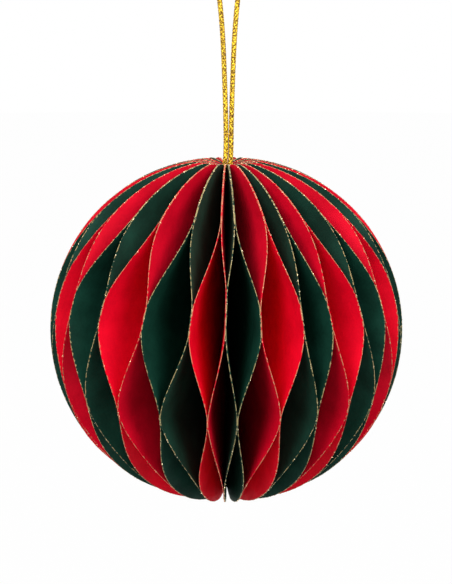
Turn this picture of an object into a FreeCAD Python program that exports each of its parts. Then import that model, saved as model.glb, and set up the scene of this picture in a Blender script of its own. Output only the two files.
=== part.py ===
import FreeCAD, Part
import math
import os

os.makedirs("parts", exist_ok=True)

# Lengths are in millimetres and angles in degrees.
# The origin is the middle of the ball, Z runs up its spine to the cord, and the
# closing seam faces -Y. A turn of 0 is that front, and turns grow towards +X.

# the ball
ball_radius = 50.0          # spine to the widest point of a leaf's edge
half_height = 48.6          # middle to the ellipse's pole, a little less than the radius
pole_dip = 1.3              # how far a leaf's edge sinks below that ellipse at the spine
dip_reach = 8.0             # and how far out from the spine it does
spine_dip = 1.45            # how far a leaf's straight edge ends below the pole
spine_crowding = 0.07       # drop of a line at the spine for each mm that it runs outwards
core_radius = 1.9           # the spine that the leaves are bound round
end_angle = 87.4            # where a leaf's rounded edge stops short of the spine
pair_count = 28             # pairs of like-coloured leaves
paper = 0.15                # thickness of one leaf
glue_film = 0.05            # between two leaves at a glue line

# glue lines: lower and upper end of each, up the spine
upper_line = (36.3, 37.3)   # joins the two leaves of a pair
middle_line = (9.4, 16.4)   # joins neighbouring pairs
lower_line = (-15.0, -12.1)  # joins the two leaves of a pair
bottom_line = (-40.2, -37.6)  # joins neighbouring pairs
seam_line = (10.4, 20.4)    # the middle line at the closing seam
edge_bow = 0.5              # between lines an edge runs straight at 0, bowed at 1

# where the front pairs stand at the upper and at the lower line
right_pairs = [(3.7, 3.4), (17.2, 16.8), (25.4, 29.6), (36.0, 42.2), (49.0, 55.4),
               (64.0, 68.6), (78.5, 79.5)]
left_pairs = [(-2.2, -5.8), (-14.2, -20.9), (-30.0, -36.2), (-45.5, -51.0),
              (-62.0, -66.0), (-78.0, -79.5)]
# how far the joints between these pairs stand off the half way, at the middle and at
# the bottom line, from the seam outwards
right_joints = [(0.2, -2.2), (1.6, -2.2), (0.6, -2.0), (1.3, -2.0), (0.2, -1.0)]
left_joints = [(-0.2, 1.0), (-0.8, 1.5), (-2.0, 1.5), (-2.4, 1.0)]
core_turn = -3.0            # of the even spacing at the spine

row_angle = 2.6             # between the points along a leaf's edge, at most

# the tube that the leaves are bound round
tube_wall = 0.2
tube_mouth = 4.6            # from the leaves' upper end down to the tube, round the cord

# the hanging cord: its strands go down into the tube, and its loop closes above
cord_diameter = 1.4
cord_shift = 0.64           # it stands a little to +X above the ball
cord_side = [               # one side of the loop: out from the middle, height, share of shift
    (0.88, 31.0, 0.0), (0.80, 39.5, 0.0), (0.73, 45.5, 0.3), (0.71, 50.5, 1.0),
    (0.72, 57.5, 1.0), (1.03, 68.6, 1.0), (1.6, 83.0, 1.0), (2.6, 93.6, 1.0),
    (3.55, 99.0, 1.0),
]
cord_top = 101.3


def smooth(t, bow=1.0):
    """From 0 to 1, straight at a bow of 0 and with soft ends at 1."""
    t = min(1.0, max(0.0, t))
    return (1.0 - bow) * t + bow * t * t * (3.0 - 2.0 * t)


def pair_turns():
    """The turn of every pair at the upper and at the lower line, once round."""
    left = [(a + 360.0, b + 360.0) for a, b in reversed(left_pairs)]
    hidden = pair_count - len(right_pairs) - len(left)
    first, last = right_pairs[-1], left[0]
    back = []
    for i in range(1, hidden + 1):
        part = i / (hidden + 1)
        back.append(tuple(a + part * (b - a) for a, b in zip(first, last)))
    return right_pairs + back + left


def pair_turn(turns, index, z):
    """The turn of a pair's glue lines at a height, straight from upper to lower."""
    lap, place = divmod(index, pair_count)
    upper, lower = turns[place]
    top, bottom = sum(upper_line) / 2, sum(lower_line) / 2
    part = min(1.0, max(0.0, (z - bottom) / (top - bottom)))
    return 360.0 * lap + lower + part * (upper - lower)


def joint_offsets():
    """For each pair, how far its joint with the next one stands off the half way."""
    plain = [(0.0, 0.0)] * (pair_count - len(right_joints) - len(left_joints) - 1)
    return right_joints + plain + left_joints[::-1] + [(0.0, 0.0)]


def share_outward(z, middle):
    """0 where a leaf is glued to its pair's other leaf, 1 where to the next pair."""
    if z >= middle[1]:
        return smooth((upper_line[0] - z) / (upper_line[0] - middle[1]), edge_bow)
    if z >= middle[0]:
        return 1.0
    if z >= lower_line[1]:
        return smooth((z - lower_line[1]) / (middle[0] - lower_line[1]), edge_bow)
    if z >= lower_line[0]:
        return 0.0
    return smooth((lower_line[0] - z) / (lower_line[0] - bottom_line[1]), edge_bow)


def leaf_turn(turns, leaf, z):
    """The turn at a height of the glued leaf, and its side step to clear the glue."""
    pair, side = leaf // 2, (-1 if leaf % 2 == 0 else 1)
    at_seam = leaf in (0, 2 * pair_count - 1)
    outward = share_outward(z, seam_line if at_seam else middle_line)
    own = pair_turn(turns, pair, z)
    beside = pair_turn(turns, pair + side, z)
    offset = joint_offsets()[min(pair, pair + side) % pair_count][z < lower_line[0]]
    turn = (1 - outward) * own + outward * ((own + beside) / 2 + offset)
    return turn, side * (1 - 2 * outward) * (paper + glue_film) / 2


def stand(r, turn, step, z):
    """A point at a radius and a turn, stepped sideways round the spine."""
    a = math.radians(turn)
    return FreeCAD.Vector(r * math.sin(a) + step * math.cos(a),
                          -r * math.cos(a) + step * math.sin(a), z)


def row_angles():
    """The angles up a leaf's edge: at each end of a glue line, and evenly between."""
    lines = (upper_line, middle_line, lower_line, bottom_line, seam_line)
    ends = sorted(math.degrees(math.asin(z / half_height)) for line in lines for z in line)
    stops = [-end_angle] + ends + [end_angle]
    angles = [-end_angle]
    for low, high in zip(stops, stops[1:]):
        count = max(2, math.ceil((high - low) / row_angle))
        angles += [low + (high - low) * i / count for i in range(1, count + 1)]
    return angles


def edge_curve(poles):
    """A smooth curve that keeps inside the line through its poles."""
    curve = Part.BSplineCurve()
    curve.buildFromPoles(poles, False, 3)
    return curve.toShape()


def make_leaf(turns, leaf):
    """A thin solid. Each face is ruled from the straight edge at the spine, where the
    leaves stand evenly, to the wavy rounded edge, where the glue lines hold them. The
    lines are level but for those near the poles."""
    slot = core_turn + (leaf + 0.5) * 180.0 / pair_count
    lines = []
    for face in (-paper / 2, paper / 2):
        spine_edge, round_edge = [], []
        for up in map(math.radians, row_angles()):
            z = half_height * math.sin(up)
            out = (ball_radius - core_radius) * math.cos(up)
            turn, step = leaf_turn(turns, leaf, z)
            sunk = pole_dip * (1 - smooth(out / dip_reach))
            inner = min(abs(z), half_height - spine_dip - spine_crowding * out)
            spine_edge.append(stand(core_radius, slot, face, math.copysign(inner, z)))
            round_edge.append(stand(core_radius + out, turn, step + face,
                                    z - math.copysign(sunk, z)))
        lines.append([edge_curve(spine_edge), edge_curve(round_edge)])
    (spine_a, round_a), (spine_b, round_b) = lines
    faces = [Part.makeRuledSurface(*pair) for pair in
             ((spine_a, round_a), (spine_b, round_b), (spine_a, spine_b), (round_a, round_b))]
    for end in (0, 1):
        across = [Part.LineSegment(spine.Vertexes[end].Point, rounded.Vertexes[end].Point)
                  for spine, rounded in lines]
        faces.append(Part.makeRuledSurface(across[0].toShape(), across[1].toShape()))
    shell = Part.Shell(faces)
    shell.sewShape()
    solid = Part.Solid(Part.Shell(shell.Faces))
    if solid.Volume < 0:
        solid.reverse()
    return solid


def make_tube():
    """The tube, from the leaves' lower end to a little below their upper end."""
    outer = core_radius - glue_film
    spine_half = half_height - spine_dip
    length = 2 * spine_half - tube_mouth
    foot = FreeCAD.Vector(0, 0, -spine_half)
    return Part.makeCylinder(outer, length, foot).cut(
        Part.makeCylinder(outer - tube_wall, length, foot))


def cord_route():
    left = [(cord_shift * share - x, 0.02 * (i % 2), z)
            for i, (x, z, share) in enumerate(cord_side)]
    right = [(cord_shift * share + x, -0.02 * (i % 2), z)
             for i, (x, z, share) in enumerate(cord_side)]
    route = left + [(cord_shift, 0.0, cord_top)] + right[::-1]
    return [FreeCAD.Vector(*p) for p in route]


def make_cord(route, diameter):
    """A round tube on straight runs joined by tangent arcs."""
    edges, start = [], route[0]
    for before, corner, after in zip(route, route[1:], route[2:]):
        back, on = (before - corner), (after - corner)
        half_turn = (math.pi - back.getAngle(on)) / 2
        radius = 0.45 * min(back.Length, on.Length) / math.tan(half_turn)
        reach = radius * math.tan(half_turn)
        back.normalize()
        on.normalize()
        first, last = corner + back * reach, corner + on * reach
        inward = (back + on).normalize()
        rise = radius / math.cos(half_turn) - radius
        edges.append(Part.LineSegment(start, first).toShape())
        edges.append(Part.Arc(first, corner + inward * rise, last).toShape())
        print("cord bend radius", round(radius, 2))
        start = last
    edges.append(Part.LineSegment(start, route[-1]).toShape())
    length = sum(edge.Length for edge in edges)
    path = Part.Wire(edges)
    ring = Part.Wire(Part.makeCircle(diameter / 2, route[0], route[1] - route[0]))
    tube = path.makePipeShell([ring], True, True)
    section = math.pi * diameter ** 2 / 4
    print("cord length", round(length, 1), "volume share", tube.Volume / section / length)
    return tube


def write(name, solid):
    print(name, solid.isValid(), len(solid.Solids), round(solid.Volume, 2))
    solid.exportStep("parts/" + name + ".step")


def main():
    turns = pair_turns()
    for leaf in range(2 * pair_count):
        colour = "green" if leaf // 2 % 2 == 0 else "red"
        write("leaf_%02d_%s" % (leaf + 1, colour), make_leaf(turns, leaf))
    write("spine_tube", make_tube())
    write("hanging_cord", make_cord(cord_route(), cord_diameter))


main()
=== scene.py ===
import math
import bpy
import numpy as np
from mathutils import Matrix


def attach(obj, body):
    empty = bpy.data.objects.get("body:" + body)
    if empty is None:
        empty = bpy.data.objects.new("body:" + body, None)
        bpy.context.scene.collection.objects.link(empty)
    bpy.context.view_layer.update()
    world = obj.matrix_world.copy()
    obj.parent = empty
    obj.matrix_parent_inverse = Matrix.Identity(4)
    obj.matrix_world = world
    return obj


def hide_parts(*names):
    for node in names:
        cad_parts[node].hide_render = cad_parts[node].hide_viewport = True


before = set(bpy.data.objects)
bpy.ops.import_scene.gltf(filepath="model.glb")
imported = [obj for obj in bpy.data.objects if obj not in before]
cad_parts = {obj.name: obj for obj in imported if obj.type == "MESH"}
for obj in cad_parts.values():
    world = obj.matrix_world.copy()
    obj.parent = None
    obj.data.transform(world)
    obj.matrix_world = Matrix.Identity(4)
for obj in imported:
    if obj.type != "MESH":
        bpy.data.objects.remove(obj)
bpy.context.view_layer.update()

mm = 0.001
view = bpy.context.scene.view_settings
view.view_transform = "Standard"


def toLinear(hexColour):
    # sRGB hex to the linear values that shaders take
    values = [int(hexColour[i:i + 2], 16) / 255 for i in (1, 3, 5)]
    return [v / 12.92 if v <= 0.04045 else ((v + 0.055) / 1.055) ** 2.4 for v in values] + [1.0]


def addNode(tree, kind, settings=None, **links):
    # one node, its settings, and what feeds its sockets: a value, or another node's output
    node = tree.nodes.new(kind)
    for name, value in (settings or {}).items():
        setattr(node, name, value)
    for name, source in links.items():
        key = int(name[1:]) if name[0] == "i" and name[1:].isdigit() else name.replace("_", " ")
        socket = node.inputs[key]
        if isinstance(source, bpy.types.NodeSocket):
            tree.links.new(source, socket)
        else:
            socket.default_value = source
    return node


def newMaterial(name):
    material = bpy.data.materials.new(name)
    material.use_nodes = True
    tree = material.node_tree
    tree.nodes.clear()
    output = addNode(tree, "ShaderNodeOutputMaterial")
    return material, tree, output


def meshPiece(name, points, faces, smoothAngle=None):
    # points in metres, faces as an array, or as a list where their corners differ in number
    mesh = bpy.data.meshes.new(name)
    mesh.from_pydata(points.tolist(), [], faces if isinstance(faces, list) else faces.tolist())
    if smoothAngle:
        mesh.polygons.foreach_set("use_smooth", np.ones(len(mesh.polygons), bool))
        mesh.set_sharp_from_angle(angle=math.radians(smoothAngle))
    mesh.update()
    piece = bpy.data.objects.new(name, mesh)
    bpy.context.scene.collection.objects.link(piece)
    return piece


# Camera and light

photo = {
    "width": 452, "height": 584,
    "middle": (226.3, 328.7),      # where the ball's middle shows
    "focal": 1467.9,               # in photo pixels
    "distance": 420.0,             # mm from the ball's middle
    "lookDown": 13.6,              # degrees
}


def placeCamera():
    data = bpy.data.cameras.new("photoCamera")
    camera = bpy.data.objects.new("photoCamera", data)
    bpy.context.scene.collection.objects.link(camera)
    down = math.radians(photo["lookDown"])
    reach = photo["distance"] * mm
    camera.location = (0.0, -reach * math.cos(down), reach * math.sin(down))
    camera.rotation_euler = (math.pi / 2 - down, 0.0, 0.0)
    data.sensor_fit = "VERTICAL"
    data.sensor_height = 36.0
    data.lens = photo["focal"] / photo["height"] * 36.0
    data.shift_x = (photo["width"] / 2 - photo["middle"][0]) / photo["height"]
    data.shift_y = (photo["middle"][1] - photo["height"] / 2) / photo["height"]
    data.clip_start = 0.01
    bpy.context.scene.camera = camera


studio = {
    "floorHeight": -0.30,          # metres
    "floorRadius": 4.0,
    "floorCorners": 64,
    "floorWhite": 0.985,           # share of the floor that shows as white, the rest shaded
    "fill": 0.55,                  # the world's light
    "lamps": [                     # where from, size in metres, watts
        ((-0.55, -0.85, 0.75), 0.7, 9.8),
        ((0.65, -0.80, 0.70), 0.7, 8.7),
        ((0.0, 0.1, 1.1), 0.9, 7.0),
    ],
}


def seenRay(tree):
    # 1 for a ray from the camera, or one reflected or let through on the way to it
    path = addNode(tree, "ShaderNodeLightPath")
    either = addNode(tree, "ShaderNodeMath", {"operation": "ADD"},
                     i0=path.outputs["Is Camera Ray"], i1=path.outputs["Is Glossy Ray"])
    seen = addNode(tree, "ShaderNodeMath", {"operation": "ADD", "use_clamp": True},
                   i0=either.outputs[0], i1=path.outputs["Is Transmission Ray"])
    return seen.outputs[0]


def setWorld():
    world = bpy.data.worlds.new("paleStudio")
    world.use_nodes = True
    bpy.context.scene.world = world
    tree = world.node_tree
    tree.nodes.clear()
    light = addNode(tree, "ShaderNodeBackground", Color=toLinear("#F4F6FF"),
                    Strength=studio["fill"])
    white = addNode(tree, "ShaderNodeBackground", Color=(1, 1, 1, 1), Strength=1.0)
    mix = addNode(tree, "ShaderNodeMixShader", i0=seenRay(tree), i1=light.outputs[0],
                  i2=white.outputs[0])
    addNode(tree, "ShaderNodeOutputWorld", Surface=mix.outputs[0])


def setLamps():
    for i, (place, size, watts) in enumerate(studio["lamps"]):
        data = bpy.data.lights.new("softBox%d" % (i + 1), "AREA")
        data.shape = "DISK"
        data.size = size
        data.energy = watts
        lamp = bpy.data.objects.new(data.name, data)
        lamp.location = place
        aim = np.array(place)
        flat = math.hypot(aim[0], aim[1])
        lamp.rotation_euler = (math.atan2(flat, aim[2]), 0.0, math.atan2(aim[0], -aim[1]))
        bpy.context.scene.collection.objects.link(lamp)


def layFloor():
    # A pale matt paper sweep. Most of what the eye sees of it is plain white, and the rest
    # is lit by the lamps, so that it keeps a faint shadow.
    material, tree, output = newMaterial("mattPaperSweep")
    share = addNode(tree, "ShaderNodeMath", {"operation": "MULTIPLY"},
                    i0=seenRay(tree), i1=studio["floorWhite"])
    matt = addNode(tree, "ShaderNodeBsdfDiffuse", Color=toLinear("#BCBCBC"))
    white = addNode(tree, "ShaderNodeEmission", Color=(1, 1, 1, 1), Strength=1.0)
    mix = addNode(tree, "ShaderNodeMixShader", i0=share.outputs[0], i1=matt.outputs[0],
                  i2=white.outputs[0])
    tree.links.new(mix.outputs[0], output.inputs["Surface"])
    corners = studio["floorCorners"]
    turn = np.linspace(0, 2 * np.pi, corners, endpoint=False)
    ring = studio["floorRadius"] * np.stack([np.cos(turn), np.sin(turn), 0 * turn], 1)
    ring[:, 2] = studio["floorHeight"]
    floor = meshPiece("floor", ring, [list(range(corners))])
    floor.data.materials.append(material)


placeCamera()
setWorld()
setLamps()
layFloor()
print("camera, lamps and floor")

# Hanging cord

cord = {
    "diameter": 1.4,
    "shift": 0.64,                 # to +X above the ball
    "side": [                      # out from the middle, height, share of the shift
        (0.88, 31.0, 0.0), (0.80, 39.5, 0.0), (0.73, 45.5, 0.3), (0.71, 50.5, 1.0),
        (0.72, 57.5, 1.0), (1.03, 68.6, 1.0), (1.6, 83.0, 1.0), (2.6, 93.6, 1.0),
        (3.55, 99.0, 1.0)],
    "top": 101.3,
    "length": 143.5,
    "yarns": 8,                    # half of them turn each way
    "pitch": 5.2,                  # mm along the cord for one turn of a yarn
    "yarnWidth": 0.56, "yarnDepth": 0.28,
    "yarnInset": 0.6,              # of its depth, from the cord's surface to its middle
    "weave": 0.25,                 # of its depth, how far it rises and falls
    "ringPoints": 8, "stepsPerMm": 7,
    "splineSteps": 24,
}


def cordRoute():
    # the loop's points, every other one a hair off the plane of the loop
    shift = cord["shift"]
    left = [(shift * s - x, 0.02 * (i % 2), z) for i, (x, z, s) in enumerate(cord["side"])]
    right = [(shift * s + x, -0.02 * (i % 2), z) for i, (x, z, s) in enumerate(cord["side"])]
    return np.array(left + [(shift, 0.0, cord["top"])] + right[::-1]) * mm


def splinePoints(route):
    # the route's own smooth spline, read back as points
    curve = bpy.data.curves.new("cordLine", "CURVE")
    curve.dimensions = "3D"
    spline = curve.splines.new("NURBS")
    spline.points.add(len(route) - 1)
    spline.points.foreach_set("co", np.c_[route, np.ones(len(route))].ravel())
    spline.order_u = 3
    spline.use_endpoint_u = True
    spline.resolution_u = cord["splineSteps"]
    line = bpy.data.objects.new("cordLine", curve)
    mesh = bpy.data.meshes.new_from_object(line)
    points = np.empty(len(mesh.vertices) * 3)
    mesh.vertices.foreach_get("co", points)
    bpy.data.objects.remove(line)
    bpy.data.meshes.remove(mesh)
    bpy.data.curves.remove(curve)
    return points.reshape(-1, 3)


def evenPoints(points, step):
    # points evenly along a line, and how far along it each one is
    gaps = np.linalg.norm(np.diff(points, axis=0), axis=1)
    way = np.concatenate([[0], np.cumsum(gaps)])
    even = np.linspace(0, way[-1], int(way[-1] / step))
    return np.stack([np.interp(even, way, points[:, k]) for k in range(3)], 1), even


def braidMesh(line, way):
    # Each yarn runs round the cord's line as a helix, half of them each way. Its distance
    # from the line rises and falls once for each yarn that it crosses, and its section is
    # a flat ellipse that stands across the line.
    ahead = np.gradient(line, axis=0)
    ahead /= np.linalg.norm(ahead, axis=1)[:, None]
    across = np.tile([0.0, 1.0, 0.0], (len(line), 1))
    across -= (across * ahead).sum(1)[:, None] * ahead
    across /= np.linalg.norm(across, axis=1)[:, None]
    third = np.cross(ahead, across)
    half = cord["yarns"] // 2
    ring = np.arange(cord["ringPoints"]) * 2 * np.pi / cord["ringPoints"]
    radius = (cord["diameter"] / 2 - cord["yarnInset"] * cord["yarnDepth"]) * mm
    points, faces = [], []
    for yarn in range(cord["yarns"]):
        hand = 1 if yarn < half else -1
        start = (yarn % half * 2 + (hand > 0)) * np.pi / half
        turn = hand * 2 * np.pi * way / (cord["pitch"] * mm) + start
        weave = np.sin(half * turn + (0 if hand > 0 else np.pi))
        r = radius + cord["weave"] * cord["yarnDepth"] * mm * weave
        out = np.cos(turn)[:, None] * across + np.sin(turn)[:, None] * third
        middle = line + r[:, None] * out
        side = np.cross(np.gradient(middle, axis=0), out)
        side /= np.linalg.norm(side, axis=1)[:, None]
        wide = np.cos(ring)[None, :, None] * side[:, None, :] * cord["yarnWidth"]
        deep = np.sin(ring)[None, :, None] * out[:, None, :] * cord["yarnDepth"]
        loops = middle[:, None, :] + (wide + deep) * mm / 2
        n, m = loops.shape[:2]
        base = yarn * n * m
        points.append(loops.reshape(-1, 3))
        i, j = np.meshgrid(np.arange(n - 1), np.arange(m), indexing="ij")
        p, q = i * m + j, i * m + (j + 1) % m
        faces += (np.stack([p, p + m, q + m, q], -1).reshape(-1, 4) + base).tolist()
        faces += [list(range(base, base + m)),
                  list(range(base + n * m - 1, base + (n - 1) * m - 1, -1))]
    return np.concatenate(points), faces


def metallicYarn():
    # Gold lurex: a thin metal-coated film slit into yarn and braided. Its creases give a bump,
    # and noise flecks paint its colour: bright gold ones are painted glints, brown ones painted
    # shade.
    material, tree, output = newMaterial("goldLurexYarn")
    place = addNode(tree, "ShaderNodeTexCoord")
    glintShadeAndCrease = addNode(tree, "ShaderNodeTexNoise", Vector=place.outputs["Object"],
                    Scale=1 / (0.42 * mm), Detail=1.0)      # creases and the painted glints and shade, drawn coarse at 0.42 mm
    # painted glints and painted shade: bright gold flecks stand for glints off the film, brown
    # ones for shade where it turns away or lies in a valley
    tone = addNode(tree, "ShaderNodeValToRGB", Fac=glintShadeAndCrease.outputs["Fac"])
    tone.color_ramp.elements[0].position = 0.43
    tone.color_ramp.elements[0].color = toLinear("#7A5406")
    tone.color_ramp.elements[1].position = 0.58
    tone.color_ramp.elements[1].color = toLinear("#FFD632")
    crease = addNode(tree, "ShaderNodeBump", Height=glintShadeAndCrease.outputs["Fac"], Strength=0.6,
                     Distance=0.08 * mm)
    shader = addNode(tree, "ShaderNodeBsdfPrincipled", Base_Color=tone.outputs["Color"],
                     Metallic=0.45, Roughness=0.42, Normal=crease.outputs["Normal"])
    tree.links.new(shader.outputs[0], output.inputs["Surface"])
    return material


def makeCord():
    path = splinePoints(cordRoute())
    line, way = evenPoints(path, mm / cord["stepsPerMm"])
    points, faces = braidMesh(line, way)
    braid = meshPiece("hangingCordBraid", points, faces, smoothAngle=60)
    braid.data.materials.append(metallicYarn())
    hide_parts("hanging_cord")
    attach(braid, "root")
    length = np.linalg.norm(np.diff(path, axis=0), axis=1).sum()
    print("cord spline length mm", round(length / mm, 1))


makeCord()
print("cord")

# Paper leaves

ball = {                                     # lengths in mm, angles in degrees
    "radius": 50.0, "halfHeight": 48.6, "endAngle": 87.4,
    "poleDip": 1.3, "dipReach": 8.0,         # the edge sinks below the ellipse at the spine
    "core": 1.9,                             # radius at which the leaves' straight edges stand
    "spineDip": 1.45, "spineCrowding": 0.07,  # how far those end below the ellipse's pole
    "pairs": 28, "paper": 0.15, "film": 0.05,
    "upperLine": (36.3, 37.3), "middleLine": (9.4, 16.4), "lowerLine": (-15.0, -12.1),
    "bottomLine": (-40.2, -37.6), "seamLine": (10.4, 20.4), "edgeBow": 0.5,
    # where each pair stands at the upper and the lower line, from the seam outwards
    "rightPairs": [(3.7, 3.4), (17.2, 16.8), (25.4, 29.6), (36.0, 42.2), (49.0, 55.4),
                   (64.0, 68.6), (78.5, 79.5)],
    "leftPairs": [(-2.2, -5.8), (-14.2, -20.9), (-30.0, -36.2), (-45.5, -51.0),
                  (-62.0, -66.0), (-78.0, -79.5)],
    # how far the joints between them stand off the half way, at the middle and bottom line
    "rightJoints": [(0.2, -2.2), (1.6, -2.2), (0.6, -2.0), (1.3, -2.0), (0.2, -1.0)],
    "leftJoints": [(-0.2, 1.0), (-0.8, 1.5), (-2.0, 1.5), (-2.4, 1.0)],
    "coreTurn": -3.0,                        # of the even spacing at the spine
    "rowAngle": 1.5, "columns": 14,
    "tubeWall": 0.2, "tubeMouth": 4.6, "tubeCorners": 48,
}


def smoothShare(t, bow=1.0):
    # from 0 to 1, straight at a bow of 0 and with soft ends at 1
    t = np.clip(t, 0, 1)
    return (1 - bow) * t + bow * t * t * (3 - 2 * t)


def pairTurns():
    # the turn of every pair at the upper and the lower line, once round, evenly at the back
    right = np.array(ball["rightPairs"])
    left = np.array(ball["leftPairs"])[::-1] + 360
    hidden = ball["pairs"] - len(right) - len(left)
    share = (np.arange(1, hidden + 1) / (hidden + 1))[:, None]
    return np.concatenate([right, right[-1] + share * (left[0] - right[-1]), left])


def pairTurn(turns, index, z):
    # the turn of a pair's glue lines at a height, straight from upper to lower
    lap, place = divmod(index, ball["pairs"])
    upper, lower = turns[place]
    top, bottom = np.mean(ball["upperLine"]), np.mean(ball["lowerLine"])
    return 360 * lap + lower + np.clip((z - bottom) / (top - bottom), 0, 1) * (upper - lower)


def jointOffset(index, z):
    # how far the joint of a pair with the next one stands off the half way
    right, left = ball["rightJoints"], ball["leftJoints"]
    place = index % ball["pairs"]
    fromSeam = ball["pairs"] - 2 - place
    middle, bottom = 0.0, 0.0
    if place < len(right):
        middle, bottom = right[place]
    elif 0 <= fromSeam < len(left):
        middle, bottom = left[fromSeam]
    return np.radians(np.where(z < ball["lowerLine"][0], bottom, middle))


def outwardShare(z, middle):
    # 0 where a leaf is glued to its pair's other leaf, 1 where to the next pair's leaf
    upper, lower, bottom = ball["upperLine"][0], ball["lowerLine"], ball["bottomLine"][1]
    bow = ball["edgeBow"]
    above = smoothShare((upper - z) / (upper - middle[1]), bow)
    below = smoothShare((z - lower[1]) / (middle[0] - lower[1]), bow)
    under = smoothShare((lower[0] - z) / (lower[0] - bottom), bow)
    return np.where(z >= middle[1], above, np.where(z >= lower[1], below, under))


def stand(r, turn, step, z):
    # a point at a radius and a turn, stepped sideways round the spine
    return np.stack([r * np.sin(turn) + step * np.cos(turn),
                     -r * np.cos(turn) + step * np.sin(turn), z], -1) * mm


def leafPoints(turns, leaf, across, up, face):
    # A leaf's face is ruled by straight lines, level but near the poles, from an upright
    # edge at the spine, where the leaves stand evenly, to the wavy rounded edge. That
    # edge's turn about the spine goes over from one glue line to the next. Across runs
    # from the spine to the rounded edge, up is the angle on that edge, face is the side.
    z = ball["halfHeight"] * np.sin(up)
    out = (ball["radius"] - ball["core"]) * np.cos(up)
    pair, side = leaf // 2, (-1 if leaf % 2 == 0 else 1)
    middle = ball["seamLine"] if leaf in (0, 2 * ball["pairs"] - 1) else ball["middleLine"]
    outward = outwardShare(z, middle)
    own = np.radians(pairTurn(turns, pair, z))
    beside = np.radians(pairTurn(turns, pair + side, z))
    joint = (own + beside) / 2 + jointOffset(min(pair, pair + side), z)
    turn = (1 - outward) * own + outward * joint
    step = side * (1 - 2 * outward) * (ball["paper"] + ball["film"]) / 2
    slot = math.radians(ball["coreTurn"] + (leaf + 0.5) * 180 / ball["pairs"])
    halfPaper = face * ball["paper"] / 2
    sunk = ball["poleDip"] * (1 - smoothShare(out / ball["dipReach"]))
    ease = ball["halfHeight"] - ball["spineDip"] - ball["spineCrowding"] * out
    spineZ = np.sign(z) * np.minimum(np.abs(z), ease)
    inner = stand(ball["core"] + 0 * z, slot, halfPaper, spineZ)
    outer = stand(ball["core"] + out, turn, step + halfPaper, z - np.sign(z) * sunk)
    share = np.asarray(across)[..., None]
    return (1 - share) * inner + share * outer


def rowAngles():
    # rows at each end of a glue line, and evenly between
    lines = [ball[name] for name in
             ("upperLine", "middleLine", "lowerLine", "bottomLine", "seamLine")]
    ends = np.degrees(np.arcsin(np.sort(np.ravel(lines)) / ball["halfHeight"]))
    stops = [-ball["endAngle"], *ends, ball["endAngle"]]
    rows = [np.linspace(low, high, math.ceil((high - low) / ball["rowAngle"]) + 1)[1:]
            for low, high in zip(stops, stops[1:])]
    return np.radians(np.concatenate([stops[:1], *rows]))


def leafMesh(turns, leaf):
    # The sheet's closed mesh, and how far in from its rounded edge each point stands.
    rows = rowAngles()[:, None]
    columns = np.linspace(0, 1, ball["columns"])[None, :]
    one = leafPoints(turns, leaf, columns, rows, -1)
    other = leafPoints(turns, leaf, columns, rows, 1)
    loops = np.concatenate([one, other[:, ::-1]], 1)       # once round the sheet, row by row
    n, m = loops.shape[:2]
    i, j = np.meshgrid(np.arange(n - 1), np.arange(m), indexing="ij")
    a, b = i * m + j, i * m + (j + 1) % m
    quads = np.stack([a, b, b + m, a + m], -1).reshape(-1, 4)
    k = np.arange(m // 2 - 1)
    low = np.stack([k, m - 1 - k, m - 2 - k, k + 1], -1)
    high = low[:, ::-1] + (n - 1) * m
    inward = (1 - np.concatenate([columns[0], columns[0][::-1]]))[None, :]
    inward = inward * (ball["radius"] - ball["core"]) * np.cos(rows)
    return loops.reshape(-1, 3), np.concatenate([quads, low, high]), inward.ravel()


def addAttribute(piece, name, values):
    data = piece.data.attributes.new(name, "FLOAT", "POINT")
    data.data.foreach_set("value", np.ascontiguousarray(values, dtype=np.float32))


def satinPaper(name, deep, lit, glue):
    # Dyed craft paper with a calendered, satin face: an even strong colour, a soft grain
    # of fibres, and a faint sheen. Glitter glue runs along its rounded edge in small dots.
    material, tree, output = newMaterial(name)
    place = addNode(tree, "ShaderNodeTexCoord")
    cloud = addNode(tree, "ShaderNodeTexNoise", Vector=place.outputs["Object"],
                    Scale=1 / (9 * mm), Detail=3.0)         # dye clouds, 9 mm
    fibre = addNode(tree, "ShaderNodeTexNoise", Vector=place.outputs["Object"],
                    Scale=1 / (0.6 * mm), Detail=4.0)       # fibres, drawn coarse at 0.6 mm
    blend = addNode(tree, "ShaderNodeMath", {"operation": "MULTIPLY_ADD"},
                    i0=fibre.outputs["Fac"], i1=0.35, i2=cloud.outputs["Fac"])
    dye = addNode(tree, "ShaderNodeValToRGB", Fac=blend.outputs[0])
    dye.color_ramp.elements[0].position = 0.50
    dye.color_ramp.elements[0].color = toLinear(deep)
    dye.color_ramp.elements[1].position = 0.85
    dye.color_ramp.elements[1].color = toLinear(lit)
    inward = addNode(tree, "ShaderNodeAttribute", {"attribute_name": "edgeInward"})
    grit = addNode(tree, "ShaderNodeTexNoise", Vector=place.outputs["Object"],
                   Scale=1 / (0.8 * mm), Detail=1.0)        # dots, drawn coarse at 0.8 mm
    ragged = addNode(tree, "ShaderNodeMath", {"operation": "MULTIPLY_ADD"},
                     i0=grit.outputs["Fac"], i1=1.0, i2=-0.46)
    edge = addNode(tree, "ShaderNodeMath", {"operation": "LESS_THAN"},
                   i0=inward.outputs["Fac"], i1=ragged.outputs[0])
    colour = addNode(tree, "ShaderNodeMix", {"data_type": "RGBA"}, Factor=edge.outputs[0],
                     i6=dye.outputs["Color"], i7=toLinear(glue))
    cockle = addNode(tree, "ShaderNodeBump", Height=cloud.outputs["Fac"], Strength=0.5,
                     Distance=0.9 * mm)                     # the sheet's slight waves
    bump = addNode(tree, "ShaderNodeBump", Height=fibre.outputs["Fac"], Strength=0.12,
                   Distance=0.08 * mm, Normal=cockle.outputs["Normal"])
    shader = addNode(tree, "ShaderNodeBsdfPrincipled", Base_Color=colour.outputs[2],
                     Roughness=0.6, Specular_IOR_Level=0.12, Normal=bump.outputs["Normal"])
    tree.links.new(shader.outputs[0], output.inputs["Surface"])
    return material


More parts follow.
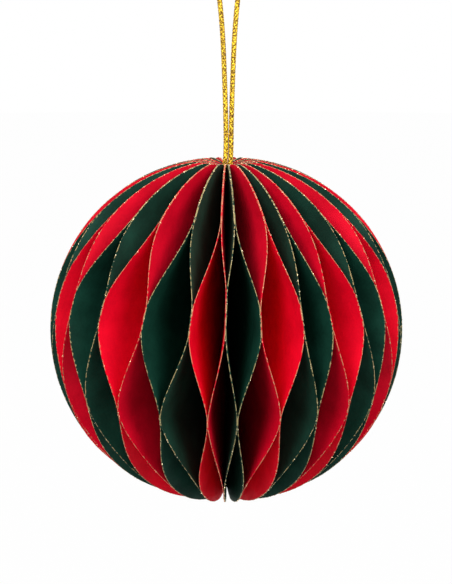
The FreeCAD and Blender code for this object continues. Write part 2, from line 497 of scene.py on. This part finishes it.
def makeLeaves(turns, papers):
    for leaf in range(2 * ball["pairs"]):
        colour = "green" if leaf // 2 % 2 == 0 else "red"
        points, faces, inward = leafMesh(turns, leaf)
        piece = meshPiece("%sLeaf%02d" % (colour, leaf + 1), points, faces, smoothAngle=50)
        addAttribute(piece, "edgeInward", inward)
        piece.data.materials.append(papers[colour])
        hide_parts("leaf_%02d_%s" % (leaf + 1, colour))
        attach(piece, "root")


def makeTube(material):
    # the paper tube that the leaves are bound round: once round its section, then swept
    outer = ball["core"] - ball["film"]
    foot = ball["spineDip"] - ball["halfHeight"]
    top = -foot - ball["tubeMouth"]
    inner = outer - ball["tubeWall"]
    section = np.array([(outer, foot), (outer, top), (inner, top), (inner, foot)])
    count = ball["tubeCorners"]
    turn = np.linspace(0, 2 * np.pi, count, endpoint=False)[:, None]
    r, z = section[:, 0][None, :], section[:, 1][None, :]
    points = stand(r + 0 * turn, turn, 0.0, z + 0 * turn).reshape(-1, 3)
    i, j = np.meshgrid(np.arange(count), np.arange(4), indexing="ij")
    beside, above = (i + 1) % count, (j + 1) % 4
    faces = np.stack([4 * i + j, 4 * beside + j, 4 * beside + above, 4 * i + above],
                     -1).reshape(-1, 4)
    tube = meshPiece("spineTube", points, faces, smoothAngle=50)
    addAttribute(tube, "edgeInward", np.full(len(points), ball["radius"]))  # no glue dots
    tube.data.materials.append(material)
    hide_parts("spine_tube")
    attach(tube, "root")


papers = {"green": satinPaper("greenSatinPaper", "#0B2E23", "#134032", "#A89868"),
          "red": satinPaper("redSatinPaper", "#D40020", "#EC0428", "#CC8060")}
turns = pairTurns()
makeLeaves(turns, papers)
makeTube(papers["green"])
print("leaves")

# Glitter

glitter = {
    "perMm": 1.3,                  # flakes for each mm of a leaf's rounded edge
    "size": (0.18, 0.42),          # mm across a flake, drawn a little coarse
    "thin": 0.35,                  # thickness of a flake, as a share of its width
    "band": 0.10,                  # mm in from the rounded edge
    "seed": 11,
}


def glitterMaterial(name, dark, light):
    # Polyester glitter: tiny metallised flakes, each a small mirror at its own tilt.
    material, tree, output = newMaterial(name)
    tint = addNode(tree, "ShaderNodeAttribute", {"attribute_name": "flakeTint"})
    tone = addNode(tree, "ShaderNodeValToRGB", Fac=tint.outputs["Fac"])
    tone.color_ramp.elements[0].color = toLinear(dark)
    tone.color_ramp.elements[1].color = toLinear(light)
    shader = addNode(tree, "ShaderNodeBsdfPrincipled", Base_Color=tone.outputs["Color"],
                     Metallic=1.0, Roughness=0.25)
    tree.links.new(shader.outputs[0], output.inputs["Surface"])
    return material


def makeGlitter(turns, colour, material, rng):
    # Flakes are flat octahedra set at random along each leaf's rounded edge, tilted at
    # random, so that some face the eye and flash.
    corners = np.array([(1, 0, 0), (-1, 0, 0), (0, 1, 0), (0, -1, 0), (0, 0, 1), (0, 0, -1)])
    sides = np.array([(0, 2, 4), (2, 1, 4), (1, 3, 4), (3, 0, 4),
                      (2, 0, 5), (1, 2, 5), (3, 1, 5), (0, 3, 5)])
    points, faces, tints = [], [], []
    total = 0
    for leaf in range(2 * ball["pairs"]):
        if (leaf // 2 % 2 == 0) != (colour == "green"):
            continue
        count = int(glitter["perMm"] * math.pi * ball["halfHeight"])
        up = np.radians(ball["endAngle"]) * rng.uniform(-1, 1, count)
        reach = (ball["radius"] - ball["core"]) * np.cos(up)
        across = 1 - rng.uniform(0, glitter["band"], count) / reach
        face = rng.uniform(-1, 1, count)
        middle = leafPoints(turns, leaf, across, up, face)
        size = rng.uniform(*glitter["size"], count) * mm / 2
        axes = rng.normal(size=(count, 3, 3))
        turnTo = np.linalg.qr(axes)[0]
        turnTo *= np.sign(np.linalg.det(turnTo))[:, None, None]
        scaled = corners[None] * size[:, None, None] * np.array([1, 1, glitter["thin"]])
        flakes = np.einsum("nij,nkj->nki", turnTo, scaled) + middle[:, None, :]
        points.append(flakes.reshape(-1, 3))
        faces.append((np.arange(count)[:, None, None] * 6 + sides[None] + total).reshape(-1, 3))
        tints.append(np.repeat(rng.uniform(0, 1, count), 6))
        total += count * 6
    piece = meshPiece(colour + "LeafGlitter", np.concatenate(points), np.concatenate(faces))
    addAttribute(piece, "flakeTint", np.concatenate(tints))
    piece.data.materials.append(material)
    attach(piece, "root")
    print(colour, "flakes", total // 6)


rng = np.random.default_rng(glitter["seed"])
makeGlitter(turns, "green", glitterMaterial("champagneGlitter", "#8C7A52", "#F2E6C2"), rng)
makeGlitter(turns, "red", glitterMaterial("roseGoldGlitter", "#A0603C", "#F0C8A4"), rng)
print("glitter")
